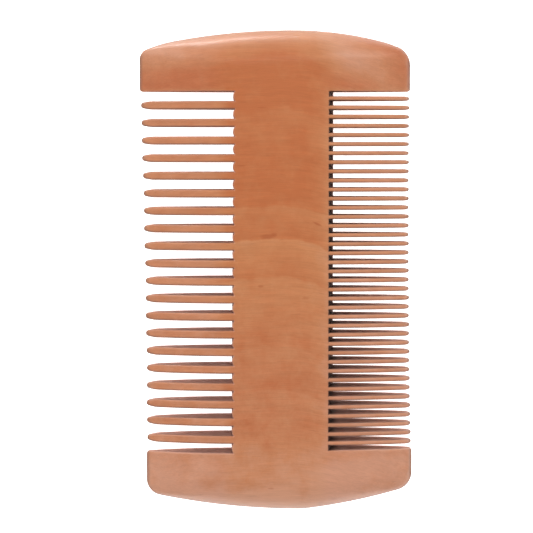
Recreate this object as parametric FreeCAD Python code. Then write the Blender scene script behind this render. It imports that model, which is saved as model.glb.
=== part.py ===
"""A double-sided wooden beard comb, lying flat.

X runs across the comb, from the coarse teeth to the fine teeth. Y runs along it, from the foot to the
crown. Z is up, through its thickness. The origin is at the bottom centre of the comb.
The comb is one piece of wood. It is divided where its spine, its two end guards and its teeth meet, so the
parts touch face to face and don't overlap. All sizes are in millimetres.
"""
import FreeCAD, Part
import math
import os
from collections import namedtuple

Vector = FreeCAD.Vector

# Whole comb. It is symmetric about the plane at half its thickness, except for the lean of the root walls.
length = 100.0
thickness = 10.0
half_length = length / 2
half_thickness = thickness / 2

# Side edges. The comb is a little narrower at its foot than at its crown.
coarse_edge_crown = -28.27
coarse_edge_foot = -27.03
fine_edge_crown = 27.94
fine_edge_foot = 28.5

# Cross-section: flat between the two shoulders, then flanks that curve down to rounded side edges
coarse_shoulder = -7.2
fine_shoulder = 6.2
coarse_edge_radius = 1.0
fine_edge_radius = 2.0

# Inner edges of the guards, where the rows of teeth end
crown_inner = 37.2
foot_inner_coarse = -37.75
foot_inner_fine = -37.1

# Walls behind the teeth, given at the upper face. They lean outwards towards the lower face.
coarse_root_crown = -8.44
coarse_root_foot = -8.8
coarse_root_lean = 0.2
coarse_root_bulge = 0.2
fine_root_crown = 11.06
fine_root_foot = 10.98
fine_root_lean = 1.07

# Teeth: a tooth narrows over its taper to a blunt tip. The tips stand a little inside the guards' edges: by
# the inset at both ends of the row, and by the hollow as well half way along it. Their lengths also vary by
# a small ripple, because they are sanded by hand.
Teeth = namedtuple("Teeth", "count width taper tip_radius inset hollow ripple wave")
coarse = Teeth(
    count=20, width=1.7, taper=2.6, tip_radius=0.62, inset=0.1, hollow=0.28, ripple=0.06, wave=1.3
)
fine = Teeth(
    count=39, width=0.885, taper=1.8, tip_radius=0.3, inset=0.12, hollow=0.3, ripple=0.04, wave=2.1
)

# Outer rim of both guards: a rounded nose that follows the crown and the foot
rim_depth = 7.0
rim_radius = 3.0
ring_depth = 18.0

# Outer arcs of the guards, seen from above, from the coarse side to the fine side. They run smoothly into
# each other. start and end are angles from the apex in degrees. The outermost lie past the corners.
Arc = namedtuple("Arc", "radius start end")
crown_apex = 3.5
crown_arcs = (Arc(28.0, -40, -10.5), Arc(135.0, -10.5, 0), Arc(74.4, 0, 14), Arc(30.0, 14, 40))
foot_apex = 4.3
foot_arcs = (Arc(145.0, -40, -0.2), Arc(25.0, -0.2, 7.8), Arc(125.6, 7.8, 40))

# Corners of the guards, seen from above. The prism that cuts them stands clear of the rounded edges
# elsewhere.
crown_corner_coarse = 2.2
crown_corner_fine = 4.2
foot_corner_coarse = 3.5
foot_corner_fine = 3.9
inner_corner = 0.65
prism_clearance = 0.02

# How far a cutting solid runs past what it cuts
overrun = 1.0
right_angle = 90


def between(low, high, share):
    """The value that lies this share of the way from low to high."""
    return low + (high - low) * share


def along(y):
    """How far down the teeth y lies, from 0 at the crown's guard to 1 at the foot's guard."""
    return (crown_inner - y) / (crown_inner - foot_inner_coarse)


def bullet(tip, shoulder, half, nose):
    """Edges of a blunt nose in the XY plane, from (shoulder, half) round (tip, 0) to (shoulder, -half).

    Each flank is an arc that leaves the shoulder level and runs smoothly into the nose's circle.
    """
    way = math.copysign(1.0, tip - shoulder)
    run = abs(tip - shoulder) - nose
    radius = (run ** 2 + half ** 2 - nose ** 2) / (2 * (half - nose))
    turn = math.asin(run / (radius - nose))

    def flank(angle, side):
        x = shoulder + way * radius * math.sin(angle)
        y = side * (half - radius + radius * math.cos(angle))
        return Vector(x, y, 0)

    upper = Part.Arc(flank(0, 1), flank(turn / 2, 1), flank(turn, 1))
    nose_arc = Part.Arc(flank(turn, 1), Vector(tip, 0, 0), flank(turn, -1))
    lower = Part.Arc(flank(turn, -1), flank(turn / 2, -1), flank(0, -1))
    return [upper.toShape(), nose_arc.toShape(), lower.toShape()]


def path(*points):
    """Straight edges from each point to the next."""
    return [Part.makeLine(begin, end) for begin, end in zip(points, points[1:])]


def face_of(edges):
    """A flat face inside a closed chain of edges."""
    return Part.Face(Part.Wire(Part.__sortEdges__(edges)))


def stand_up(face, y):
    """Turns a face that is drawn in the XY plane into a cross-section at y, at half the comb's height."""
    face.rotate(Vector(0, 0, 0), Vector(1, 0, 0), right_angle)
    face.translate(Vector(0, y, half_thickness))
    return face


def through(face):
    """Carries a face that is drawn in the XY plane up through the whole comb, and a little past it."""
    face.translate(Vector(0, 0, -overrun))
    return face.extrude(Vector(0, 0, thickness + 2 * overrun))


def slab(coarse_tip, fine_tip, low_y, high_y):
    """The comb's whole cross-section, carried along Y from low_y to high_y."""
    edges = bullet(coarse_tip, coarse_shoulder, half_thickness, coarse_edge_radius)
    edges += bullet(fine_tip, fine_shoulder, half_thickness, fine_edge_radius)
    for side in (-half_thickness, half_thickness):
        edges += path(Vector(coarse_shoulder, side, 0), Vector(fine_shoulder, side, 0))
    return stand_up(face_of(edges), low_y).extrude(Vector(0, high_y - low_y, 0))


def bar(tip, shoulder, edge_radius, low_y, high_y):
    """One side of the cross-section, from its shoulder to its tip, carried along Y."""
    edges = bullet(tip, shoulder, half_thickness, edge_radius)
    edges += path(Vector(shoulder, -half_thickness, 0), Vector(shoulder, half_thickness, 0))
    return stand_up(face_of(edges), low_y).extrude(Vector(0, high_y - low_y, 0))


def coarse_wall(y, z=thickness):
    """X of the wall behind the coarse teeth."""
    return between(coarse_root_crown, coarse_root_foot, along(y)) - coarse_root_lean * (1 - z / thickness)


def fine_wall(y, z=thickness):
    """X of the wall behind the fine teeth."""
    return between(fine_root_crown, fine_root_foot, along(y)) + fine_root_lean * (1 - z / thickness)


def leaning_prism(edges, lean):
    """Carries an outline from the upper face down through the comb, moving by lean on the way."""
    slope = Vector(lean / thickness, 0, -1)
    face = face_of(edges)
    face.translate(Vector(0, 0, thickness) - slope * overrun)
    return face.extrude(slope * (thickness + 2 * overrun))


def spine_block(bulged_gaps=()):
    """The space between the two walls, taller than the comb, with a bulge into each of these gaps."""
    top = crown_inner + overrun
    bottom = foot_inner_coarse - overrun
    high_left = Vector(coarse_wall(top), top, 0)
    low_left = Vector(coarse_wall(bottom), bottom, 0)
    high_right = Vector(fine_wall(top), top, 0)
    low_right = Vector(fine_wall(bottom), bottom, 0)
    far = Vector(fine_edge_foot, 0, 0)
    corner = high_left
    edges = path(high_left + far, high_left)
    for high, low in bulged_gaps:
        middle = (high + low) / 2
        start = Vector(coarse_wall(high), high, 0)
        bulge = Vector(coarse_wall(middle) - coarse_root_bulge, middle, 0)
        end = Vector(coarse_wall(low), low, 0)
        edges += path(corner, start)
        edges.append(Part.Arc(start, bulge, end).toShape())
        corner = end
    edges += path(corner, low_left, low_left + far, high_left + far)
    coarse_side = leaning_prism(edges, -coarse_root_lean)
    edges = path(high_right, high_right - far, low_right - far, low_right, high_right)
    return coarse_side.common(leaning_prism(edges, fine_root_lean))


def rows(teeth, high, low):
    """The centres of evenly spaced teeth between two guards, and the ends of the gaps beside them."""
    gap = (high - low - teeth.count * teeth.width) / (teeth.count + 1)
    pitch = teeth.width + gap
    centres = [high - gap - teeth.width / 2 - index * pitch for index in range(teeth.count)]
    gaps = [(high - index * pitch, high - gap - index * pitch) for index in range(teeth.count + 1)]
    return centres, gaps


def tip_of(teeth, number, edge_crown, edge_foot, centre, way):
    """X of one tooth's tip."""
    share = along(centre)
    edge = between(edge_crown, edge_foot, share)
    inset = teeth.inset + teeth.hollow * (1 - (2 * share - 1) ** 2)
    return edge - way * (inset + teeth.ripple * math.sin(number * teeth.wave))


def tooth(teeth, centre, tip, shoulder, edge_radius, block):
    """One tooth: a strip of the cross-section, narrowed to a blunt tip and cut off at the spine's wall."""
    way = math.copysign(1.0, tip - shoulder)
    half = teeth.width / 2
    taper_start = tip - way * teeth.taper
    plan = bullet(tip, taper_start, half, teeth.tip_radius)
    plan += path(
        Vector(taper_start, -half, 0),
        Vector(shoulder, -half, 0),
        Vector(shoulder, half, 0),
        Vector(taper_start, half, 0),
    )
    seen_from_above = through(face_of(plan))
    seen_from_above.translate(Vector(0, centre, 0))
    blank = bar(tip, shoulder, edge_radius, centre - half, centre + half).common(seen_from_above)
    return blank.cut(block).Solids[0]


def upright_edge(prism, corner):
    """The upright edge of a prism that stands at this corner."""
    for edge in prism.Edges:
        box = edge.BoundBox
        aside = math.hypot(box.Center.x - corner.x, box.Center.y - corner.y)
        if box.ZLength > thickness and aside < prism_clearance:
            return edge
    raise ValueError("the prism has no upright edge at %.2f, %.2f" % (corner.x, corner.y))


def radial(way, angle):
    """The direction out from an arc's centre, at an angle from the apex.

    way is 1 at the crown and -1 at the foot.
    """
    return Vector(math.sin(math.radians(angle)), way * math.cos(math.radians(angle)), 0)


def arc_centres(arcs, apex, way):
    """The centres of arcs that run smoothly into each other and are level at the apex."""
    home = max(index for index, arc in enumerate(arcs) if arc.start <= 0)
    centres = {home: Vector(apex, way * half_length, 0) - radial(way, 0) * arcs[home].radius}
    for index in range(home + 1, len(arcs)):
        step = arcs[index - 1].radius - arcs[index].radius
        centres[index] = centres[index - 1] + radial(way, arcs[index].start) * step
    for index in range(home - 1, -1, -1):
        step = arcs[index + 1].radius - arcs[index].radius
        centres[index] = centres[index + 1] + radial(way, arcs[index].end) * step
    return [centres[index] for index in range(len(arcs))]


def guard_prism(inner_line, arcs, centres, way, corner_radii=()):
    """A guard seen from above, carried through the comb.

    inner_line runs from the coarse edge to the fine edge. corner_radii are those of the outer coarse, outer
    fine, inner coarse and inner fine corners.
    """
    first = (inner_line[0].x - centres[0].x) / (arcs[0].radius + prism_clearance)
    last = (inner_line[-1].x - centres[-1].x) / (arcs[-1].radius + prism_clearance)
    starts = [math.degrees(math.asin(first))] + [arc.start for arc in arcs[1:]]
    ends = [arc.end for arc in arcs[:-1]] + [math.degrees(math.asin(last))]
    edges = path(*inner_line)
    for arc, centre, start, end in zip(arcs, centres, starts, ends):
        radius = arc.radius + prism_clearance
        points = [centre + radial(way, angle) * radius for angle in (start, (start + end) / 2, end)]
        edges.append(Part.Arc(*points).toShape())
    outer_coarse = centres[0] + radial(way, starts[0]) * (arcs[0].radius + prism_clearance)
    outer_fine = centres[-1] + radial(way, ends[-1]) * (arcs[-1].radius + prism_clearance)
    edges += path(inner_line[-1], outer_fine)
    edges += path(outer_coarse, inner_line[0])
    prism = through(face_of(edges))
    corners = (outer_coarse, outer_fine, inner_line[0], inner_line[-1])
    for corner, radius in zip(corners, corner_radii):
        prism = prism.makeFillet(radius, [upright_edge(prism, corner)])
    return prism


def rim_sector(arc, centre, way):
    """A stretch of a ring with a rounded outer edge, whose outer circle is one of a guard's arcs."""
    inner = arc.radius - ring_depth
    shoulder = arc.radius - rim_depth
    profile = bullet(arc.radius, shoulder, half_thickness, rim_radius)
    profile += path(
        Vector(shoulder, -half_thickness, 0),
        Vector(inner, -half_thickness, 0),
        Vector(inner, half_thickness, 0),
        Vector(shoulder, half_thickness, 0),
    )
    section = stand_up(face_of(profile), 0)
    from_x = min(way * (right_angle - arc.start), way * (right_angle - arc.end))
    section.rotate(Vector(0, 0, 0), Vector(0, 0, 1), from_x)
    section.translate(centre)
    return section.revolve(centre, Vector(0, 0, 1), arc.end - arc.start)


def guard(prism, coarse_tip, fine_tip, arcs, centres, way):
    """A solid end of the comb: the cross-section inside the guard's outline, with a rounded outer rim."""
    box = prism.BoundBox
    sectors = [rim_sector(arc, centre, way) for arc, centre in zip(arcs, centres)]
    rim = sectors[0].fuse(sectors[1:])
    whole = slab(coarse_tip, fine_tip, box.YMin, box.YMax)
    return whole.common(prism).common(rim).removeSplitter().Solids[0]


def crown_line():
    """The inner edge of the guard at the crown."""
    return [
        Vector(coarse_edge_crown - prism_clearance, crown_inner, 0),
        Vector(fine_edge_crown + prism_clearance, crown_inner, 0),
    ]


def foot_line():
    """The inner edge of the guard at the foot, which slants under the spine."""
    return [
        Vector(coarse_edge_foot - prism_clearance, foot_inner_coarse, 0),
        Vector(coarse_wall(foot_inner_coarse, 0), foot_inner_coarse, 0),
        Vector(fine_wall(foot_inner_fine, 0), foot_inner_fine, 0),
        Vector(fine_edge_foot + prism_clearance, foot_inner_fine, 0),
    ]


def build_guards(nodes):
    """Adds both guards."""
    centres = arc_centres(crown_arcs, crown_apex, 1)
    corners = (crown_corner_coarse, crown_corner_fine, inner_corner, inner_corner)
    prism = guard_prism(crown_line(), crown_arcs, centres, 1, corners)
    nodes["top_guard"] = guard(prism, coarse_edge_crown, fine_edge_crown, crown_arcs, centres, 1)
    centres = arc_centres(foot_arcs, foot_apex, -1)
    corners = (foot_corner_coarse, foot_corner_fine, inner_corner, inner_corner)
    prism = guard_prism(foot_line(), foot_arcs, centres, -1, corners)
    nodes["bottom_guard"] = guard(prism, coarse_edge_foot, fine_edge_foot, foot_arcs, centres, -1)


def build_spine(nodes, coarse_gaps):
    """Adds the spine, which runs from guard to guard between the rows of teeth."""
    coarse_tip = (coarse_edge_crown + coarse_edge_foot) / 2
    fine_tip = (fine_edge_crown + fine_edge_foot) / 2
    blank = slab(coarse_tip, fine_tip, -half_length, half_length).common(spine_block(coarse_gaps))
    crown = guard_prism(crown_line(), crown_arcs, arc_centres(crown_arcs, crown_apex, 1), 1)
    foot = guard_prism(foot_line(), foot_arcs, arc_centres(foot_arcs, foot_apex, -1), -1)
    nodes["spine"] = blank.cut(crown).cut(foot).Solids[0]


def build_teeth(nodes, coarse_centres, fine_centres):
    """Adds the coarse teeth as a node each, and the fine teeth as one node of separate solids."""
    block = spine_block()
    for number, centre in enumerate(coarse_centres, 1):
        tip = tip_of(coarse, number, coarse_edge_crown, coarse_edge_foot, centre, -1)
        name = "coarse_tooth_%02d" % number
        nodes[name] = tooth(coarse, centre, tip, coarse_shoulder, coarse_edge_radius, block)
    row = []
    for number, centre in enumerate(fine_centres, 1):
        tip = tip_of(fine, number, fine_edge_crown, fine_edge_foot, centre, 1)
        row.append(tooth(fine, centre, tip, fine_shoulder, fine_edge_radius, block))
    nodes["fine_teeth"] = Part.makeCompound(row)


def build_all():
    """Every node of the comb, as a dictionary from its name to its shape."""
    nodes = {}
    coarse_centres, coarse_gaps = rows(coarse, crown_inner, foot_inner_coarse)
    fine_centres, _ = rows(fine, crown_inner, foot_inner_fine)
    build_guards(nodes)
    build_spine(nodes, coarse_gaps)
    build_teeth(nodes, coarse_centres, fine_centres)
    return nodes


os.makedirs("parts", exist_ok=True)
for name, shape in build_all().items():
    shape.exportStep("parts/%s.step" % name)
    box = shape.BoundBox
    print("%s valid=%s solids=%d volume=%.1f" % (name, shape.isValid(), len(shape.Solids), shape.Volume))
    print("  x %.2f..%.2f y %.2f..%.2f" % (box.XMin, box.XMax, box.YMin, box.YMax))
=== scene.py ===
import math
from collections import namedtuple

import bmesh
import bpy
import numpy as np
from mathutils import Matrix, Vector


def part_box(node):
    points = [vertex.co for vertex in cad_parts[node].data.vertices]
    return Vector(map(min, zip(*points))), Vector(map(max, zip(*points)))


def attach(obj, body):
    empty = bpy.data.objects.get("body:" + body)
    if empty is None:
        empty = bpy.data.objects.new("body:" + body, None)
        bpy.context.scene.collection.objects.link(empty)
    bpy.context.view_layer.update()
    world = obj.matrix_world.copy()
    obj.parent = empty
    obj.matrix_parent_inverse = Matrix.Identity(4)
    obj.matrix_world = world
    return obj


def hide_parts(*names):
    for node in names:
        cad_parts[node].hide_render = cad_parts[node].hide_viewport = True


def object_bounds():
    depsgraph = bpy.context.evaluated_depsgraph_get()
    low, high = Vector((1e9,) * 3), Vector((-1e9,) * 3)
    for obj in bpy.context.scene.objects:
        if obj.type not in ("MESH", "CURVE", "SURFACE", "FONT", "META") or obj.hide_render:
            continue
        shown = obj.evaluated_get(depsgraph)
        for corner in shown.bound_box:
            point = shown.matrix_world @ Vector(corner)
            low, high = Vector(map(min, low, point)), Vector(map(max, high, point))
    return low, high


# The looks of a double-sided wooden beard comb that lies flat on a pale floor.
#
# X runs across the comb, from the coarse teeth to the fine teeth. Y runs along it, from the foot to the
# crown. Z is up. The comb is one piece of wood, so its spine, guards and teeth share one surface and one
# grain, which run on from piece to piece. Shapes are worked out in millimetres and become metres as each mesh
# is made.

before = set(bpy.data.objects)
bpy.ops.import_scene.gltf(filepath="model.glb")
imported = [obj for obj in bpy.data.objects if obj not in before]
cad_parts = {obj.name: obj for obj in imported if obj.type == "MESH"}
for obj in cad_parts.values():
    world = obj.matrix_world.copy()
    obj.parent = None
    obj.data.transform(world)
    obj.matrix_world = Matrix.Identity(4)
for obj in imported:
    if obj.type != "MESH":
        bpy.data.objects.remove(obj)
cad_low, cad_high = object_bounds()

MM = 0.001


def box_mm(node):
    """Lowest and highest corner of a CAD node, in millimetres."""
    low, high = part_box(node)
    return np.array(low) / MM, np.array(high) / MM


# ---------------------------------------------------------------- sizes, from the frame and the comb's design

crown_low, crown_high = box_mm("top_guard")
foot_low, foot_high = box_mm("bottom_guard")
spine_low, _ = box_mm("spine")

thickness = cad_high.z / MM
half_thickness = thickness / 2
half_length = crown_high[1]
crown_inner = crown_low[1]
foot_inner_coarse, foot_inner_fine = spine_low[1], foot_high[1]
coarse_edge_crown, fine_edge_crown = crown_low[0], crown_high[0]
coarse_edge_foot, fine_edge_foot = foot_low[0], foot_high[0]

# Each coarse tooth has its own node. The fine teeth share one, so their number is stated here.
coarse_names = sorted(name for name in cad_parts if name.startswith("coarse_tooth_"))
fine_count = 39

# Cross-section: flat between the shoulders, then long flanks down to a rounded edge
coarse_shoulder, fine_shoulder = -7.2, 6.2
coarse_nose, fine_nose = 1.0, 2.0

# Walls behind the teeth, at the upper face. They lean outwards towards the lower face.
coarse_root_crown, coarse_root_foot = -8.44, -8.8
coarse_root_lean, coarse_root_bulge = 0.2, 0.32
fine_root_crown, fine_root_foot = 11.06, 10.98
fine_root_lean = 1.07

# Guards: outer arcs from the coarse side to the fine side, the corners' radii, and how dark the painted shade
# along the rim is
Arc = namedtuple("Arc", "radius start end")
Guard = namedtuple("Guard", "way apex arcs coarse_corner fine_corner rim_wear")
crown_arcs = (Arc(28.0, -40, -10.5), Arc(135.0, -10.5, 0), Arc(74.4, 0, 14), Arc(30.0, 14, 40))
foot_arcs = (Arc(145.0, -40, -0.2), Arc(25.0, -0.2, 7.8), Arc(125.6, 7.8, 40))
crown = Guard(way=1, apex=3.5, arcs=crown_arcs, coarse_corner=2.2, fine_corner=4.2, rim_wear=0.45)
foot = Guard(way=-1, apex=4.3, arcs=foot_arcs, coarse_corner=3.5, fine_corner=3.9, rim_wear=0.85)
rim_depth, rim_nose = 7.0, 3.0
inner_corner = 0.65

# How far darker wood reaches in: end grain from the tips and side edges, and painted shade from the rim
end_grain = 0.8
rim_shade_width = 0.5

# Teeth: how far a tooth narrows, the radius of its tip, and how far the edges of its slots are eased
Teeth = namedtuple("Teeth", "taper tip_radius eased nose shoulder")
coarse = Teeth(taper=2.6, tip_radius=0.62, eased=0.36, nose=coarse_nose, shoulder=coarse_shoulder)
fine = Teeth(taper=1.3, tip_radius=0.36, eased=0.3, nose=fine_nose, shoulder=fine_shoulder)

# Steps round an eased edge, across one face of a tooth and down a sawn wall
corner_steps, face_steps, wall_steps = 4, 4, 6

# ---------------------------------------------------------------- the comb's surface


def between(low, high, share):
    return low + (high - low) * share


def along(y):
    """How far down the teeth y lies, from 0 at the crown's guard to 1 at the foot's guard."""
    return np.clip((crown_inner - y) / (crown_inner - foot_inner_coarse), 0, 1)


def coarse_edge(y):
    return between(coarse_edge_crown, coarse_edge_foot, along(y))


def fine_edge(y):
    return between(fine_edge_crown, fine_edge_foot, along(y))


def coarse_wall(y, z):
    """X of the wall behind the coarse teeth."""
    return between(coarse_root_crown, coarse_root_foot, along(y)) - coarse_root_lean * (1 - z / thickness)


def fine_wall(y, z):
    """X of the wall behind the fine teeth."""
    return between(fine_root_crown, fine_root_foot, along(y)) + fine_root_lean * (1 - z / thickness)


def foot_line(x):
    """Y of the inner edge of the foot's guard. It steps up under the spine."""
    low = coarse_wall(foot_inner_coarse, 0)
    high = fine_wall(foot_inner_fine, 0)
    return between(foot_inner_coarse, foot_inner_fine, np.clip((x - low) / (high - low), 0, 1))


def bullet(past, depth, half, nose):
    """Half-thickness of a blunt nose, at a distance past its shoulder. It ends depth past the shoulder."""
    run = depth - nose
    radius = (run ** 2 + half ** 2 - nose ** 2) / (2 * (half - nose))
    flank = half - radius + np.sqrt(np.maximum(radius ** 2 - past ** 2, 0))
    tip = np.sqrt(np.maximum(nose ** 2 - (past - run) ** 2, 0))
    return np.where(past <= 0, half, np.where(past < radius * run / (radius - nose), flank, tip))


def cross_section(x, coarse_tip, fine_tip):
    """Half-thickness of the comb across its width."""
    on_coarse = bullet(coarse_shoulder - x, coarse_shoulder - coarse_tip, half_thickness, coarse_nose)
    on_fine = bullet(x - fine_shoulder, fine_tip - fine_shoulder, half_thickness, fine_nose)
    return np.minimum(on_coarse, on_fine)


def eased(distance, radius):
    """How far an eased edge drops below the face, at a distance from the slot beside it."""
    inside = np.clip(radius - distance, 0, radius)
    return radius - np.sqrt(np.maximum(radius ** 2 - inside ** 2, 0))


def quarter(count):
    """Shares of a radius that space points evenly round a quarter circle, from its edge."""
    return 1 - np.cos(np.linspace(0, math.pi / 2, count + 1))


def thinned(values, gap):
    """Sorted values, without those that come no more than a gap after the one before."""
    kept = [values[0]]
    for value in values[1:]:
        if value - kept[-1] > gap:
            kept.append(value)
    return kept


# ---------------------------------------------------------------- meshes

merge_distance, sliver_length = 1e-7, 1e-8
crease_degrees = 38


def mesh_piece(name, loops, cut, end, capped=(True, True)):
    """A closed skin through a row of loops. capped says whether the first and the last loop are filled.

    A loop that isn't filled has shrunk to a point or a seam. cut marks the sawn faces in the slots, and end
    marks end grain and the painted shade along edges and rims, both from 0 to 1 at each point.
    """
    rows, count = loops.shape[:2]
    verts = [tuple(point) for point in (loops.reshape(-1, 3) * MM)]
    faces = []
    for row in range(rows - 1):
        this, above = row * count, (row + 1) * count
        for index in range(count):
            following = (index + 1) % count
            faces.append((this + index, this + following, above + following, above + index))
    for row, filled in zip((0, rows - 1), capped):
        if filled:
            faces.append(tuple(range(row * count, (row + 1) * count)))
    mesh = bpy.data.meshes.new(name)
    mesh.from_pydata(verts, [], faces)
    for label, values in (("cut", cut), ("end", end)):
        mesh.attributes.new(label, "FLOAT", "POINT").data.foreach_set("value", list(values.reshape(-1)))
    work = bmesh.new()
    work.from_mesh(mesh)
    bmesh.ops.remove_doubles(work, verts=work.verts, dist=merge_distance)
    bmesh.ops.dissolve_degenerate(work, edges=work.edges, dist=sliver_length)
    bmesh.ops.recalc_face_normals(work, faces=work.faces)
    work.to_mesh(mesh)
    work.free()
    mesh.shade_smooth()
    mesh.set_sharp_from_angle(angle=math.radians(crease_degrees))
    piece = bpy.data.objects.new(name, mesh)
    bpy.context.collection.objects.link(piece)
    return piece


def dress(piece, material, *nodes):
    """Gives a piece its material and its place in the frame."""
    piece.data.materials.append(material)
    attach(piece, "root")
    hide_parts(*nodes)


# ---------------------------------------------------------------- teeth

# Steps round a tooth's tip, along its taper and along the rest of it
tip_steps, taper_steps, shank_steps = 6, 8, 16

# The radius of a tooth's edges at the very tip, as a share of its half-width, and the largest share of any
# section's half-width or half-height that such a radius takes
tip_roundness, largest_radius = 0.8, 0.98

corner_turn = np.linspace(0, 1, corner_steps + 1)


def ring_marks(by_crown, by_foot, on_side):
    """Marks round a tooth's section: 0 on its faces, and the given ones at its corners and sides."""
    flat, side = np.zeros(face_steps - 1), np.full(wall_steps - 1, on_side)
    return np.concatenate([flat, by_crown, side, by_crown[::-1], flat, by_foot, side, by_foot[::-1]])


# The sawn sides, and the painted shade along the edges. Both show more on the side of the foot.
sawn_ring = ring_marks(corner_turn ** 4, corner_turn ** 1.3, 1.0)
edge_shade_ring = ring_marks(0.6 * corner_turn ** 2, corner_turn ** 0.6, 0.0)


def tooth_ring(width, height, radius, centre, share, tip, wall):
    """A tooth's section: a rounded oblong, slanted at the root to lie on the wall and upright at the tip."""
    flat_y, flat_z = width - radius, height - radius
    angles = np.linspace(math.pi / 2, 0, corner_steps + 1)
    corner_y, corner_z = flat_y + radius * np.cos(angles), flat_z + radius * np.sin(angles)
    face = np.linspace(-flat_y, flat_y, face_steps + 1)[1:-1]
    side = np.linspace(flat_z, -flat_z, wall_steps + 1)[1:-1]
    y = np.concatenate([face, corner_y, np.full(wall_steps - 1, width), corner_y[::-1]])
    z = np.concatenate([np.full(face_steps - 1, height), corner_z, side, -corner_z[::-1]])
    y, z = centre + np.concatenate([y, -y]), half_thickness + np.concatenate([z, -z])
    return np.stack([between(wall(y, z), tip, share), y, z], axis=1)


def tooth(name, teeth, low, high, tip, wall):
    """One tooth, from the spine's wall to its rounded tip."""
    centre, half = (low + high) / 2, (high - low) / 2
    reach = abs(tip - wall(centre, thickness))
    depth = abs(tip - teeth.shoulder)
    from_tip = np.concatenate([
        teeth.tip_radius * quarter(tip_steps),
        np.linspace(teeth.tip_radius, teeth.taper, taper_steps)[1:],
        np.linspace(teeth.taper, reach, shank_steps)[1:],
    ])
    loops, cuts, ends = [], [], []
    for distance in from_tip[::-1]:
        width = float(bullet(teeth.taper - distance, teeth.taper, half, teeth.tip_radius))
        height = float(bullet(depth - distance, depth, half_thickness, teeth.nose))
        narrowed = max(0.0, 1 - distance / teeth.taper)
        blunt = between(teeth.eased, half * tip_roundness, narrowed ** 2)
        radius = min(blunt, width * largest_radius, height * largest_radius)
        loops.append(tooth_ring(width, height, radius, centre, 1 - distance / reach, tip, wall))
        cuts.append(sawn_ring * min(1.0, distance / teeth.taper))
        # Darker end grain at the tip, and painted shade along the edges
        ends.append(np.maximum(edge_shade_ring, max(0.0, 1 - distance / end_grain)))
    return mesh_piece(name, np.array(loops), np.array(cuts), np.array(ends), capped=(True, False))


def coarse_slots():
    """Ends of the slots between the coarse teeth, from the crown down."""
    boxes = [box_mm(name) for name in coarse_names]
    highs = [crown_inner] + [low[1] for low, _ in boxes]
    lows = [high[1] for _, high in boxes] + [foot_inner_coarse]
    return list(zip(highs, lows))


def fine_slots(boxes):
    """Ends of the slots between the fine teeth, from the crown down."""
    highs = [crown_inner] + [low for low, _, _ in boxes]
    lows = [high for _, high, _ in boxes] + [foot_inner_fine]
    return list(zip(highs, lows))


def fine_teeth_boxes():
    """Low y, high y and tip of each fine tooth, from the crown down, read from the node they share."""
    points = np.array([vertex.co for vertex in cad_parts["fine_teeth"].data.vertices]) / MM
    points = points[np.argsort(-points[:, 1])]
    pitch = (crown_inner - foot_inner_fine) / fine_count
    breaks = np.nonzero(-np.diff(points[:, 1]) > pitch / 2)[0] + 1
    groups = np.split(points, breaks)
    return [(group[:, 1].min(), group[:, 1].max(), group[:, 0].max()) for group in groups]


# ---------------------------------------------------------------- spine

# Steps across a slot, where its wall bulges and where it's straight, and across the spine's face
bulge_steps, straight_steps, spine_steps = 8, 2, 18

# The spine's sections are square to Y down to this far below the last fine tooth. These many lean below it.
lean_start, lean_sections = 0.1, 6

# Sections no further apart than this are one
closest_sections = 0.004

# The power by which the sawn tone fades over an eased edge
sawn_fade = 0.7


def spine_rows(slots_coarse, slots_fine, lowest):
    """The y of every section square to Y: round the edges of the slots, and across the bulges in them."""
    rows = set()
    for slots, teeth, steps in ((slots_coarse, coarse, bulge_steps), (slots_fine, fine, straight_steps)):
        for high, low in slots:
            rows.update(np.linspace(high, low, steps + 1))
            for share in quarter(corner_steps)[1:]:
                rows.update((high + share * teeth.eased, low - share * teeth.eased))
    inside = sorted(y for y in rows if lowest < y <= crown_inner)
    return thinned([lowest] + inside, closest_sections)


def slot_state(y, slots):
    """Distance from y to the nearest slot, 0 inside one, and how far its wall bulges there, as a share."""
    touching = 1e-6
    for high, low in slots:
        if low - touching <= y <= high + touching:
            half = (high - low) / 2
            return 0.0, 1 - ((y - (high + low) / 2) / half) ** 2
    return min(min(abs(y - high), abs(y - low)) for high, low in slots), 0.0


def spine_section(y, beside_coarse, beside_fine, bulge):
    """One closed section of the spine: upper face, fine wall, lower face, coarse wall."""
    faces, marks = [], []
    for side in (1, -1):
        z_face = half_thickness * (1 + side)
        left, right = coarse_wall(y, z_face) - bulge, fine_wall(y, z_face)
        from_left = coarse.eased * quarter(corner_steps)
        from_right = fine.eased * quarter(corner_steps)
        inner = np.linspace(left + coarse.eased, right - fine.eased, spine_steps + 1)[1:-1]
        x = np.concatenate([left + from_left, inner, right - from_right[::-1]])
        drop = eased(np.hypot(x - left, beside_coarse), coarse.eased)
        drop += eased(np.hypot(right - x, beside_fine), fine.eased)
        height = cross_section(x, coarse_edge(y), fine_edge(y)) - drop
        face = np.stack([x, np.full_like(x, y), half_thickness + side * height], axis=1)
        mark = np.where(x < 0, drop / coarse.eased, drop / fine.eased) ** sawn_fade
        faces.append(face[::side])
        marks.append(mark[::side])
    upper, lower = faces
    walls = []
    for start, stop, wall, swell in (
        (upper[-1], lower[0], fine_wall, 0),
        (lower[-1], upper[0], coarse_wall, bulge),
    ):
        z = np.linspace(start[2], stop[2], wall_steps + 1)[1:-1]
        walls.append(np.stack([wall(y, z) - swell, np.full_like(z, y), z], axis=1))
    sawn = np.ones(wall_steps - 1)
    section = np.concatenate([upper, walls[0], lower, walls[1]])
    return section, np.concatenate([marks[0], sawn, marks[1], sawn])


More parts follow.
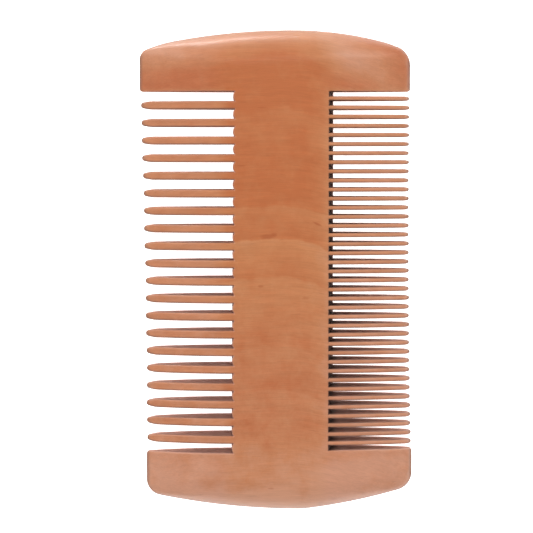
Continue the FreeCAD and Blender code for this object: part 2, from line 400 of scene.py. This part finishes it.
def make_spine(slots_coarse, slots_fine):
    """The spine, from guard to guard. Its lowest sections lean over to the oblique inner edge of the foot."""
    lowest = slots_fine[-1][0] - lean_start
    loops, cuts = [], []
    for share in np.linspace(1, 0, lean_sections, endpoint=False):
        y = between(lowest, foot_inner_coarse, share)
        _, bulge = slot_state(y, slots_coarse)
        section, cut = spine_section(y, 0.0, 0.0, bulge * coarse_root_bulge)
        section[:, 1] = between(lowest, foot_line(section[:, 0]), share)
        loops.append(section)
        cuts.append(cut)
    for y in spine_rows(slots_coarse, slots_fine, lowest):
        beside_coarse, bulge = slot_state(y, slots_coarse)
        beside_fine, _ = slot_state(y, slots_fine)
        section, cut = spine_section(y, beside_coarse, beside_fine, bulge * coarse_root_bulge)
        loops.append(section)
        cuts.append(cut)
    cuts = np.array(cuts)
    return mesh_piece("spine_wood", np.array(loops), cuts, np.zeros(cuts.shape))


# ---------------------------------------------------------------- guards

# How far in from the coarse and the fine side edge a guard's sections are dense, the steps there, how many
# sections lie between, and how far apart two have to be to count as two
coarse_dense, coarse_dense_steps = 3.0, 14
fine_dense, fine_dense_steps = 5.2, 18
sections_between = 64
closest_columns = 1e-4

# Points along a guard's face, from the slots to where the rim turns down, and steps round the rim
face_points, rim_steps = 14, 12

# An eased edge of a guard drops by no more than this share of its half-thickness
thin_easing = 0.6

# How wide the crease above the rim is rounded over, by how far the face has fallen and by its half-thickness
crease_by_fall, crease_by_height = 1.6, 1.2

# Further than anything, the least easing, and the least that a share is divided by
FAR, TINY, NOT_ZERO = 1e9, 1e-6, 1e-9


def crown_line(x):
    """The inner edge of the crown's guard at x, as a distance from the middle. It's straight."""
    return crown_inner


def foot_line_out(x):
    """The inner edge of the foot's guard at x, as a distance from the middle."""
    return -float(foot_line(x))


class Outline:
    """A guard seen from above: its tangent arcs, its side edges and the rounded corners between them.

    v is the distance from the middle of the comb, measured towards the guard.
    """

    def __init__(self, guard, coarse_tip, fine_tip):
        self.guard, self.tips = guard, (coarse_tip, fine_tip)
        arcs = guard.arcs
        home = max(index for index, arc in enumerate(arcs) if arc.start <= 0)
        self.centres = {home: np.array([guard.apex, half_length - arcs[home].radius])}
        for index in range(home + 1, len(arcs)):
            step = arcs[index - 1].radius - arcs[index].radius
            self.centres[index] = self.centres[index - 1] + self.outward(arcs[index].start) * step
        for index in range(home - 1, -1, -1):
            step = arcs[index + 1].radius - arcs[index].radius
            self.centres[index] = self.centres[index + 1] + self.outward(arcs[index].end) * step
        self.corners = [
            self.corner(0, coarse_tip, guard.coarse_corner, 1),
            self.corner(len(arcs) - 1, fine_tip, guard.fine_corner, -1),
        ]

    @staticmethod
    def outward(angle):
        return np.array([math.sin(math.radians(angle)), math.cos(math.radians(angle))])

    def corner(self, index, tip, radius, inward):
        """A rounded corner: centre, radius, the direction to where it meets the arc, the way inward."""
        centre, reach = self.centres[index], self.guard.arcs[index].radius - radius
        x = tip + inward * radius
        middle = np.array([x, centre[1] + math.sqrt(reach ** 2 - (x - centre[0]) ** 2)])
        return middle, radius, (middle - centre) / reach, inward

    def belongs(self, index, angle):
        """Whether an angle from an arc's centre is on that arc. The outer arcs run on to the side edges."""
        arcs = self.guard.arcs
        first, final = index == 0, index == len(arcs) - 1
        return (first | (angle >= arcs[index].start)) & (final | (angle < arcs[index].end))

    def outer(self, x):
        """V of the outline at x."""
        v = np.zeros_like(x)
        for index, arc in enumerate(self.guard.arcs):
            centre = self.centres[index]
            angle = np.degrees(np.arcsin(np.clip((x - centre[0]) / arc.radius, -1, 1)))
            rise = np.sqrt(np.maximum(arc.radius ** 2 - (x - centre[0]) ** 2, 0))
            v = np.where(self.belongs(index, angle), centre[1] + rise, v)
        for middle, radius, meets, inward in self.corners:
            beyond = inward * (middle[0] + meets[0] * radius - x) > 0
            rise = np.sqrt(np.maximum(radius ** 2 - (x - middle[0]) ** 2, 0))
            v = np.where(beyond, middle[1] + rise, v)
        return v

    def rim_distance(self, x, v):
        """Distance in from the arcs and the rounded corners."""
        distance = np.full_like(x, FAR)
        for index, arc in enumerate(self.guard.arcs):
            dx, dv = x - self.centres[index][0], v - self.centres[index][1]
            inside = self.belongs(index, np.degrees(np.arctan2(dx, dv)))
            distance = np.where(inside, arc.radius - np.hypot(dx, dv), distance)
        for middle, radius, meets, inward in self.corners:
            dx, dv = x - middle[0], v - middle[1]
            before_arc = inward * (dx * meets[1] - dv * meets[0]) < 0
            distance = np.where(before_arc & (dv > 0), radius - np.hypot(dx, dv), distance)
        return distance


def soft_minimum(one, other, blend):
    """The lower of two heights, with the crease between them rounded over."""
    overlap = np.maximum(blend - np.abs(one - other), 0) / np.maximum(blend, NOT_ZERO)
    return np.minimum(one, other) - overlap ** 2 * blend / 4


def guard_height(outline, x, v):
    """Half-thickness of a guard: the comb's cross-section, rounded down to the rim."""
    over = cross_section(x, *outline.tips)
    rim = bullet(rim_depth - outline.rim_distance(x, v), rim_depth, half_thickness, rim_nose)
    fallen = np.clip(half_thickness - np.maximum(over, rim), 0, 1)
    crease = np.minimum(crease_by_fall * fallen, crease_by_height * np.minimum(over, rim))
    return soft_minimum(over, rim, crease)


def guard_columns(outline, roots):
    """The x of every section of a guard: dense at both side edges and where the spine's walls meet it."""
    coarse_tip, fine_tip = outline.tips
    coarse_end, fine_end = coarse_tip + coarse_dense, fine_tip - fine_dense
    columns = list(coarse_tip + coarse_dense * quarter(coarse_dense_steps))
    columns += list(fine_tip - fine_dense * quarter(fine_dense_steps))
    columns += list(np.linspace(coarse_end, fine_end, sections_between))
    for root, radius, inward in roots:
        columns += list(root + inward * radius * quarter(corner_steps))
    return thinned(sorted(columns), closest_columns)


def make_guard(name, guard, coarse_tip, fine_tip, inner):
    """A solid end of the comb. inner gives the guard's inner edge at x, as a distance from the middle."""
    outline = Outline(guard, coarse_tip, fine_tip)
    root_y = crown_inner if guard.way > 0 else foot_inner_coarse
    levels = (thickness, 0.0)
    roots = [(coarse_wall(root_y, z), coarse.eased, 1) for z in levels]
    roots += [(fine_wall(root_y, z), fine.eased, -1) for z in levels]
    loops, cuts, ends = [], [], []
    for x in guard_columns(outline, roots):
        from_tip = min(x - coarse_tip, fine_tip - x)
        tucked = inner_corner - min(inner_corner, from_tip)
        start = inner(x) + inner_corner - math.sqrt(inner_corner ** 2 - tucked ** 2)
        end = float(outline.outer(np.array([x]))[0])
        radius = coarse.eased if x < 0 else fine.eased
        nose = min(rim_nose, (end - start) / 2)
        v = np.concatenate([
            start + radius * quarter(corner_steps),
            np.linspace(start + radius, end - nose, face_points)[1:-1],
            end - nose * quarter(rim_steps)[::-1],
        ])
        x_all = np.full_like(v, x)
        height = guard_height(outline, x_all, v)
        easing = np.maximum(np.minimum(radius, height * thin_easing), TINY)
        faces, marks = [], []
        for side, z_face in ((1, thickness), (-1, 0.0)):
            into_spine = max(0.0, min(x - coarse_wall(root_y, z_face), fine_wall(root_y, z_face) - x))
            drop = eased(np.hypot(v - start, into_spine), easing)
            faces.append(np.stack([x_all, guard.way * v, half_thickness + side * (height - drop)], axis=1))
            marks.append(drop / easing)
        upper, lower = faces
        z = np.linspace(lower[0][2], upper[0][2], wall_steps + 1)[1:-1]
        wall = np.stack([np.full_like(z, x), np.full_like(z, guard.way * start), z], axis=1)
        loops.append(np.concatenate([upper, lower[-2::-1], wall]))
        cuts.append(np.concatenate([marks[0], marks[1][-2::-1], np.ones(wall_steps - 1)]))
        # Painted shade along the rim, darkest at the outline, and darker end grain at the side edges
        rim_shaded = guard.rim_wear * (1 - outline.rim_distance(x_all, v) / rim_shade_width)
        end_grain_and_rim_shade = np.maximum(np.maximum(1 - from_tip / end_grain, rim_shaded), 0)
        ends.append(np.concatenate([end_grain_and_rim_shade, end_grain_and_rim_shade[-2::-1], np.full(wall_steps - 1, end_grain_and_rim_shade[0])]))
    return mesh_piece(name, np.array(loops), np.array(cuts), np.array(ends), capped=(False, False))


# ---------------------------------------------------------------- materials

# Growth rings, as (height of the ring's apex, paleness). Each is pale below its dark line and darkens down.
ring_apex = 2.3
growth_rings = (
    (-50.0, 1.00), (-45.5, 0.80), (-41.5, 0.54), (-38.0, 0.46), (-28.0, 0.30), (-24.8, 0.38),
    (-24.4, 0.24), (-15.5, 0.40), (-15.1, 0.25), (-1.3, 0.48), (-0.8, 0.20), (6.7, 0.52),
    (7.2, 0.06), (13.7, 0.30), (14.2, 0.04), (24.0, 0.04), (32.8, 0.15), (34.4, 0.0),
    (44.2, 0.02), (45.6, 0.26), (50.0, 0.58), (56.0, 0.10),
)

# How a ring falls away from its apex: the slope that it ends up at, and how gently it bends over
fall_fine, bend_fine = 0.9, 8.1
fall_coarse, bend_coarse = 0.25, 3.0

# The colour of the wood by its paleness, and the tint of its pinker parts
wood_colours = (
    (0.0, (0.425, 0.127, 0.044)),
    (0.5, (0.480, 0.191, 0.079)),
    (1.0, (0.533, 0.255, 0.134)),
)
pink_tint = (0.985, 0.995, 1.20)

# The teeth have one paleness rather than the rings', but a tone that varies from tooth to tooth
teeth_paleness, teeth_variation = 0.62, 0.55

# Y where the wood starts to turn cloudy and pink towards the foot, and where it has done so
cloudy_start, cloudy_full = 8.0, -30.0

fleck_colour = (0.28, 0.050, 0.015)
# Tones of the sawn faces. The paler tone towards the fine tips is painted light in the slots.
sawn_dark, sawn_pale, sawn_tips_painted_light = (0.49, 0.275, 0.220), (0.61, 0.350, 0.280), (0.68, 0.42, 0.33)
# Darker colour of the sawn faces behind the fine teeth
fine_root_dark_colour = (0.085, 0.050, 0.042)
# Darker end grain, and painted shade along the edges and rims
end_grain_and_shade_colour = (0.15, 0.075, 0.050)

# How fully the sawn tone, and the dark tone of end grain and painted shade, cover the wood
sawn_cover, end_grain_and_shade_cover = 0.9, 0.85

# Gloss: the roughness of the oiled faces, what bare wood adds to it, and the coat of oil on the faces
oiled_roughness, bare_roughness = (0.36, 0.44), 0.45
coat_weight, coat_roughness = 0.26, 0.24
specular_level = 0.4

# Relief of the fibres and streaks
relief_strength, relief_height = 0.3, 0.03 * MM

# Knots and flecks: the middle, the length and width, the turn from the grain in degrees, and the strength
Fleck = namedtuple("Fleck", "x y long wide turn strength")
flecks = (
    Fleck(-1.6, 7.3, 2.2, 0.8, 4, 0.33),
    Fleck(-0.4, 7.6, 1.1, 0.7, 12, 0.33),
    Fleck(8.6, 9.9, 1.5, 0.35, -25, 0.45),
    Fleck(-7.1, 21.9, 1.3, 0.25, 0, 0.3),
    Fleck(-2.9, 33.9, 1.6, 0.25, 0, 0.25),
    Fleck(-3.1, -3.0, 0.9, 0.4, 0, 0.35),
    Fleck(9.4, 44.2, 3.2, 7.5, 8, 0.09),
    Fleck(-1.0, -45.1, 1.0, 0.3, 0, 0.3),
)

# Soft patches on the guards, with how much paler than the rings they make the wood. The first is a painted
# highlight on the crown's fine side, the second painted shade near its fine edge, and the third a painted
# sheen along the foot's rim.
patches = (
    Fleck(18.5, 43.4, 13.0, 5.0, -16, 0.20),
    Fleck(22.5, 40.0, 12.0, 4.4, 0, -0.22),
    Fleck(-14.7, -46.5, 20.0, 1.0, -6.5, 0.30),
    Fleck(-9.5, -44.3, 10.0, 2.6, -4, -0.22),
    Fleck(15.5, -42.1, 13.0, 4.6, 8, 0.20),
)


class Graph:
    """Builds the nodes of a material or a world. Each method adds nodes and gives their output."""

    def __init__(self, owner):
        self.owner = owner
        owner.use_nodes = True
        self.tree = owner.node_tree
        self.tree.nodes.clear()

    def put(self, socket, value):
        """Links a socket to an output, or sets it to a value that is the same all over."""
        if isinstance(value, bpy.types.NodeSocket):
            self.tree.links.new(value, socket)
        else:
            socket.default_value = value

    def add(self, kind, inputs, **settings):
        node = self.tree.nodes.new(kind)
        for key, value in settings.items():
            setattr(node, key, value)
        for socket, value in inputs.items():
            self.put(node.inputs[socket], value)
        return node

    def maths(self, operation, one, other=0.0):
        return self.add("ShaderNodeMath", {0: one, 1: other}, operation=operation).outputs[0]

    def plus(self, one, other):
        return self.maths("ADD", one, other)

    def minus(self, one, other):
        return self.maths("SUBTRACT", one, other)

    def times(self, one, other):
        return self.maths("MULTIPLY", one, other)

    def larger(self, one, other):
        return self.maths("MAXIMUM", one, other)

    def scaled(self, vector, scale, offset=(0, 0, 0)):
        node = self.add("ShaderNodeMapping", {"Vector": vector, "Scale": scale, "Location": offset})
        return node.outputs[0]

    def noise(self, vector, scale, detail, roughness=0.5, offset=(0, 0, 0)):
        """Noise with a scale of its own along each axis."""
        inputs = {"Vector": self.scaled(vector, scale, offset), "Scale": 1.0}
        inputs.update({"Detail": detail, "Roughness": roughness})
        return self.add("ShaderNodeTexNoise", inputs).outputs["Fac"]

    def swing(self, noise, size):
        """Noise moved from 0.5 to swing about 0, times a size."""
        return self.times(self.minus(noise, 0.5), size)

    def ramp(self, value, low, high, to_low=0.0, to_high=1.0):
        """An eased run from one value to another, between two limits and level outside them."""
        inputs = {"Value": value, "From Min": low, "From Max": high, "To Min": to_low, "To Max": to_high}
        return self.add("ShaderNodeMapRange", inputs, interpolation_type="SMOOTHSTEP").outputs[0]

    def blend(self, share, one, other, mode="MIX"):
        """A mix of two colours. Sockets 6 and 7 and output 2 of the mix node are the ones for colours."""
        node = self.add("ShaderNodeMix", {0: share}, data_type="RGBA", blend_type=mode)
        for index, value in ((6, one), (7, other)):
            self.put(node.inputs[index], (*value, 1.0) if isinstance(value, tuple) else value)
        return node.outputs[2]

    def grey(self, value):
        return self.add("ShaderNodeCombineColor", {0: value, 1: value, 2: value}).outputs[0]

    def red(self, colour):
        """One channel of a colour, where a colour stands for a single number."""
        return self.add("ShaderNodeSeparateColor", {0: colour}).outputs[0]

    def fall(self, distance, slope, bend):
        """A hyperbola that is 0 for negative distances and ends up falling at the given slope."""
        run = self.times(self.larger(distance, 0.0), slope)
        squared = self.plus(self.times(run, run), bend ** 2)
        return self.minus(self.maths("SQRT", squared), bend)

    def colours(self, value, stops):
        """A run through the colours of the stops, which are pairs of a position and a colour."""
        node = self.add("ShaderNodeValToRGB", {"Fac": value})
        elements = node.color_ramp.elements
        while len(elements) < len(stops):
            elements.new(1.0)
        for element, (position, colour) in zip(elements, stops):
            element.position = position
            element.color = (*colour, 1.0)
        return node.outputs["Color"]

    def bands(self, height, rings):
        """The paleness of the growth ring at a height."""
        low, high = rings[0][0], rings[-1][0]
        inputs = {"Value": height, "From Min": low, "From Max": high}
        share = self.add("ShaderNodeMapRange", inputs).outputs[0]
        return self.red(self.colours(share, [((at - low) / (high - low), (pale,) * 3) for at, pale in rings]))

    def fleck(self, x, y, fleck):
        """How strongly a fleck shows at a place: most in its middle, and 0 well outside it."""
        turn = math.radians(fleck.turn)
        off_x, off_y = self.minus(x, fleck.x), self.minus(y, fleck.y)
        ahead = self.plus(self.times(off_x, math.cos(turn)), self.times(off_y, math.sin(turn)))
        aside = self.minus(self.times(off_y, math.cos(turn)), self.times(off_x, math.sin(turn)))
        ahead = self.maths("DIVIDE", ahead, fleck.long / 2)
        aside = self.maths("DIVIDE", aside, fleck.wide / 2)
        distance = self.plus(self.times(ahead, ahead), self.times(aside, aside))
        return self.ramp(distance, 3.0, 0.0, 0.0, fleck.strength)

    def attribute(self, name):
        return self.add("ShaderNodeAttribute", {}, attribute_name=name).outputs["Fac"]

    def finish(self, **sockets):
        """Adds the shader and gives the material. Sockets' names have underscores for their spaces."""
        inputs = {name.replace("_", " "): value for name, value in sockets.items()}
        shader = self.add("ShaderNodeBsdfPrincipled", inputs)
        self.add("ShaderNodeOutputMaterial", {"Surface": shader.outputs[0]})
        return self.owner


def ring_tones(g, place, x, y, z):
    """The growth rings' paleness, and how far each ring has fallen away from its apex.

    A ring falls steeply on the fine side and gently on the coarse side. It wanders, and sinks below the face.
    """
    off_apex = g.minus(x, ring_apex)
    fall = g.fall(off_apex, fall_fine, bend_fine)
    fall = g.plus(fall, g.fall(g.times(off_apex, -1.0), fall_coarse, bend_coarse))
    slow = g.noise(place, (0.09, 0.06, 0.06), 2.0)
    quick = g.noise(place, (0.28, 0.20, 0.20), 3.0, offset=(5, 9, 2))
    wander = g.plus(g.swing(slow, 2.4), g.swing(quick, 1.6))
    sunk = g.times(g.minus(z, thickness), 0.5)
    height = g.plus(g.plus(y, fall), g.plus(wander, sunk))
    return g.bands(height, growth_rings), fall


def wood_tone(g, place, x, y, pale, in_teeth):
    """The plain wood's colour: paler in the teeth, on the fine side and at the foot, and cloudier there.
    The paleness on the fine side and at the crown's coarse end is painted sheen.
    """
    from_middle, towards_foot = g.maths("ABSOLUTE", x), g.ramp(y, cloudy_start, cloudy_full)
    mottle = g.noise(place, (0.24, 0.20, 0.20), 5.0, 0.68, (31, 7, 3))
    towards_teeth = g.times(in_teeth, g.minus(teeth_paleness, pale))
    near_fine_edge = g.ramp(x, 20.0, 26.0, 0.0, g.ramp(y, 20.0, 42.0, 0.06, -0.14))
    # Paler on the fine side: painted sheen
    fine_side_sheen = g.ramp(x, 5.0, 11.0, 0.0, 0.14)
    at_foot = g.ramp(y, -34.0, -40.0, 0.0, g.ramp(from_middle, 4.0, 18.0, 0.16, 0.36))
    # Paler at the crown's coarse end: painted sheen
    coarse_crown_sheen = g.times(g.ramp(x, -12.0, -26.0), g.ramp(y, 37.0, 46.0, 0.0, 0.40))
    cloudy = g.swing(mottle, g.ramp(y, cloudy_start, cloudy_full, 0.7, 1.25))
    changes = [towards_teeth, near_fine_edge, fine_side_sheen, at_foot, coarse_crown_sheen, cloudy]
    # Soft patches, some of them painted highlight, shade and sheen
    changes += [g.fleck(x, y, patch) for patch in patches]
    for change in changes:
        pale = g.plus(pale, change)
    pink = g.plus(g.times(towards_foot, 0.7), g.ramp(from_middle, 8.0, 16.0, 0.0, 0.8))
    return g.blend(g.maths("MINIMUM", pink, 1.0), g.colours(pale, wood_colours), pink_tint, "MULTIPLY")


def wood_material():
    """Oiled, fine-grained fruitwood. The grain runs along X, and its growth rings show as soft arches."""
    g = Graph(bpy.data.materials.new("comb_wood"))
    object_place = g.add("ShaderNodeTexCoord", {}).outputs["Object"]
    place = g.scaled(object_place, (1 / MM, 1 / MM, 1 / MM))
    parts = g.add("ShaderNodeSeparateXYZ", {0: place}).outputs
    x, y, z = parts[0], parts[1], parts[2]
    from_middle, from_waist = g.maths("ABSOLUTE", x), g.maths("ABSOLUTE", y)
    in_teeth = g.times(g.ramp(from_middle, 8.5, 13.0), g.ramp(from_waist, 38.5, 36.8, 0.0, 0.75))
    pale, fall = ring_tones(g, place, x, y, z)
    colour = wood_tone(g, place, x, y, pale, in_teeth)

    # Fibres, fine streaks and short dashes, which follow the rings a little, and a tone for each tooth
    ring_bent_y = g.plus(y, g.times(fall, 0.35))
    grain_place = g.add("ShaderNodeCombineXYZ", {0: x, 1: ring_bent_y, 2: z}).outputs[0]
    streaks = g.noise(grain_place, (0.10, 1.1, 1.1), 4.0, 0.6)
    fibres = g.noise(grain_place, (0.25, 6.0, 6.0), 4.0, 0.6)
    dashes = g.noise(grain_place, (0.35, 2.6, 2.6), 2.0, 0.5, (11, 4, 8))
    tone = g.times(g.ramp(streaks, 0.30, 0.70, 0.955, 1.045), g.ramp(fibres, 0.3, 0.7, 0.950, 1.050))
    tone = g.times(tone, g.ramp(dashes, 0.24, 0.38, 0.90, 1.0))
    by_tooth = g.noise(place, (0.05, 0.75, 0.15), 3.0, offset=(3, 17, 5))
    tone = g.times(tone, g.plus(g.swing(by_tooth, g.times(in_teeth, teeth_variation)), 1.0))
    colour = g.blend(1.0, colour, g.grey(tone), "MULTIPLY")

    # A few dark knots and flecks, and small faint ones scattered along the grain
    cell_place = g.scaled(place, (0.16, 0.42, 0.42))
    cells = g.add("ShaderNodeTexVoronoi", {"Vector": cell_place, "Scale": 1.0}).outputs
    chance = g.ramp(g.red(cells["Color"]), 0.92, 0.97, 0.0, 0.25)
    dark = g.times(g.ramp(cells["Distance"], 0.18, 0.05), chance)
    for fleck in flecks:
        dark = g.larger(dark, g.fleck(x, y, fleck))
    colour = g.blend(dark, colour, fleck_colour)

    # Sawn faces in the slots, darker behind the fine teeth, and darker end grain with painted shade along the
    # edges and rims
    cut, end = g.attribute("cut"), g.attribute("end")
    saw = g.noise(place, (0.5, 0.5, 0.12), 4.0, 0.6)
    sawn = g.blend(g.ramp(saw, 0.3, 0.7), sawn_dark, sawn_pale)
    # Paler sawn faces towards the fine tips: painted light, where light reaches into the slots
    sawn = g.blend(g.ramp(x, 15.0, 21.0), sawn, sawn_tips_painted_light)
    # Sawn faces darker behind the fine teeth
    dark_behind_fine = g.times(g.ramp(x, 13.5, 11.15), g.ramp(x, -6.0, 9.0))
    sawn = g.blend(dark_behind_fine, sawn, fine_root_dark_colour)
    colour = g.blend(g.times(cut, sawn_cover), colour, sawn)
    # Darker end grain, and painted shade along the tooth edges and the guards' rims
    colour = g.blend(g.times(end, end_grain_and_shade_cover), colour, end_grain_and_shade_colour)

    # A satin face with a thin coat, which the sawn faces, the end grain and the shaded edges and rims have
    # lost
    bare = g.larger(cut, end)
    relief = g.plus(g.times(fibres, 0.6), g.times(streaks, 0.8))
    bump = {"Height": relief, "Strength": relief_strength, "Distance": relief_height}
    return g.finish(
        Base_Color=colour,
        Roughness=g.plus(g.ramp(streaks, 0.3, 0.7, *oiled_roughness), g.times(bare, bare_roughness)),
        Normal=g.add("ShaderNodeBump", bump).outputs[0],
        Specular_IOR_Level=specular_level,
        Coat_Weight=g.ramp(bare, 0.2, 0.9, coat_weight, 0.0),
        Coat_Roughness=coat_roughness,
    )


def floor_material():
    """A matt white table top. It glows, so that it stays pale under the soft lights."""
    g = Graph(bpy.data.materials.new("pale_floor"))
    place = g.add("ShaderNodeTexCoord", {}).outputs["Object"]
    paper = g.ramp(g.noise(place, (900.0, 900.0, 900.0), 3.0), 0.3, 0.7, 0.92, 0.94)
    glow = (1, 1, 1, 1)
    return g.finish(Base_Color=g.grey(paper), Roughness=0.8, Emission_Color=glow, Emission_Strength=0.9)


# ---------------------------------------------------------------- studio

floor_radius, floor_rings, floor_sectors = 4.0, 6, 48
floor_gap = 0.05 * MM

camera_place = Vector((0.0, 25.0, half_thickness + 460.0)) * MM
camera_target = Vector((-1.9, 0.85, half_thickness)) * MM
view_width = 111.3 * MM
sensor = 36.0


def make_floor():
    """A round table top, just under the comb, wide enough to fill every view."""
    angles = [2 * math.pi * sector / floor_sectors for sector in range(floor_sectors)]
    work = bmesh.new()
    middle = work.verts.new((0, 0, 0))
    previous = None
    for ring in range(1, floor_rings + 1):
        reach = floor_radius * (ring / floor_rings) ** 2
        verts = [work.verts.new((reach * math.cos(angle), reach * math.sin(angle), 0)) for angle in angles]
        for index in range(floor_sectors):
            following = (index + 1) % floor_sectors
            if previous is None:
                work.faces.new((middle, verts[index], verts[following]))
            else:
                work.faces.new((previous[index], verts[index], verts[following], previous[following]))
        previous = verts
    mesh = bpy.data.meshes.new("floor")
    work.to_mesh(mesh)
    work.free()
    floor = bpy.data.objects.new("floor", mesh)
    floor.location.z = -floor_gap
    bpy.context.collection.objects.link(floor)
    mesh.materials.append(floor_material())


def make_sky():
    """A pale studio all round, brighter near the horizon than overhead, and darker on the foot's side."""
    world = bpy.data.worlds.new("studio")
    bpy.context.scene.world = world
    g = Graph(world)
    direction = g.add("ShaderNodeTexCoord", {}).outputs["Generated"]
    split = g.add("ShaderNodeSeparateXYZ", {0: direction}).outputs
    height = g.add("ShaderNodeMapRange", {"Value": split["Z"], "To Min": 0.9, "To Max": 0.15}).outputs[0]
    by_side = {"Value": split["Y"], "From Min": -1.0, "From Max": 0.1, "To Min": 0.35}
    strength = g.times(height, g.add("ShaderNodeMapRange", by_side).outputs[0])
    background = g.add("ShaderNodeBackground", {"Color": (1.0, 0.985, 0.97, 1), "Strength": strength})
    g.add("ShaderNodeOutputWorld", {"Surface": background.outputs[0]})


def area_light(name, place, target, size, power, glossy=True, diffuse=True):
    """A soft light that faces its target. One size makes a disk, and a pair of sizes makes a rectangle.

    Places and sizes are in metres. A light that isn't glossy gives no highlight, and one that isn't diffuse
    gives nothing else.
    """
    data = bpy.data.lights.new(name, "AREA")
    if isinstance(size, tuple):
        data.shape = "RECTANGLE"
        data.size, data.size_y = size
    else:
        data.shape = "DISK"
        data.size = size
    data.energy = power
    light = bpy.data.objects.new(name, data)
    light.location = place
    light.rotation_euler = (Vector(target) - Vector(place)).to_track_quat("-Z", "Y").to_euler()
    light.visible_glossy = glossy
    light.visible_diffuse = diffuse
    light.visible_camera = False
    bpy.context.collection.objects.link(light)


def make_lights():
    """A broad key light over the crown, one by the camera, a low fill from each end, and three highlights.

    The highlights lie along the crown's rim and on the fine and coarse flanks.
    """
    middle, crown_rim = (0, 0, 0), (0.0, 0.045, 0.005)
    by_camera = camera_place + Vector((0, 0, 0.01))
    area_light("key", (-0.02, 0.19, 0.56), middle, 0.20, 1.5, glossy=False)
    area_light("front", by_camera, camera_target, 0.045, 0.86, glossy=False)
    area_light("foot_fill", (0.0, -0.45, 0.14), middle, 0.30, 0.28, glossy=False)
    area_light("crown_fill", (-0.05, 0.47, 0.17), middle, 0.30, 0.25, glossy=False)
    area_light("crown_box", (-0.12, 0.42, 0.012), crown_rim, (0.24, 0.024), 0.80, diffuse=False)
    area_light("fine_box", (0.24, 0.30, 0.48), middle, (0.18, 0.18), 0.42, diffuse=False)
    area_light("coarse_box", (-0.34, 0.34, 0.42), middle, (0.26, 0.26), 0.5, diffuse=False)


def make_camera():
    """Looks straight down on the comb, from a little towards the crown."""
    data = bpy.data.cameras.new("camera")
    data.sensor_width = sensor
    data.lens = sensor * (camera_place - camera_target).length / view_width
    camera = bpy.data.objects.new("camera", data)
    back = (camera_place - camera_target).normalized()
    right = Vector((0, 1, 0)).cross(back).normalized()
    up = back.cross(right)
    camera.location = camera_place
    camera.rotation_euler = Matrix((right, up, back)).transposed().to_euler()
    bpy.context.collection.objects.link(camera)
    bpy.context.scene.camera = camera


# ---------------------------------------------------------------- everything

wood = wood_material()
fine_boxes = fine_teeth_boxes()

dress(make_spine(coarse_slots(), fine_slots(fine_boxes)), wood, "spine")
crown_piece = make_guard("top_guard_wood", crown, coarse_edge_crown, fine_edge_crown, crown_line)
dress(crown_piece, wood, "top_guard")
foot_piece = make_guard("bottom_guard_wood", foot, coarse_edge_foot, fine_edge_foot, foot_line_out)
dress(foot_piece, wood, "bottom_guard")
for node in coarse_names:
    tooth_low, tooth_high = box_mm(node)
    piece = tooth(node + "_wood", coarse, tooth_low[1], tooth_high[1], tooth_low[0], coarse_wall)
    dress(piece, wood, node)
for number, (y_low, y_high, tip) in enumerate(fine_boxes, 1):
    piece = tooth("fine_tooth_%02d_wood" % number, fine, y_low, y_high, tip, fine_wall)
    dress(piece, wood, "fine_teeth")

make_floor()
make_sky()
make_lights()
make_camera()
bpy.context.scene.view_settings.view_transform = "Standard"
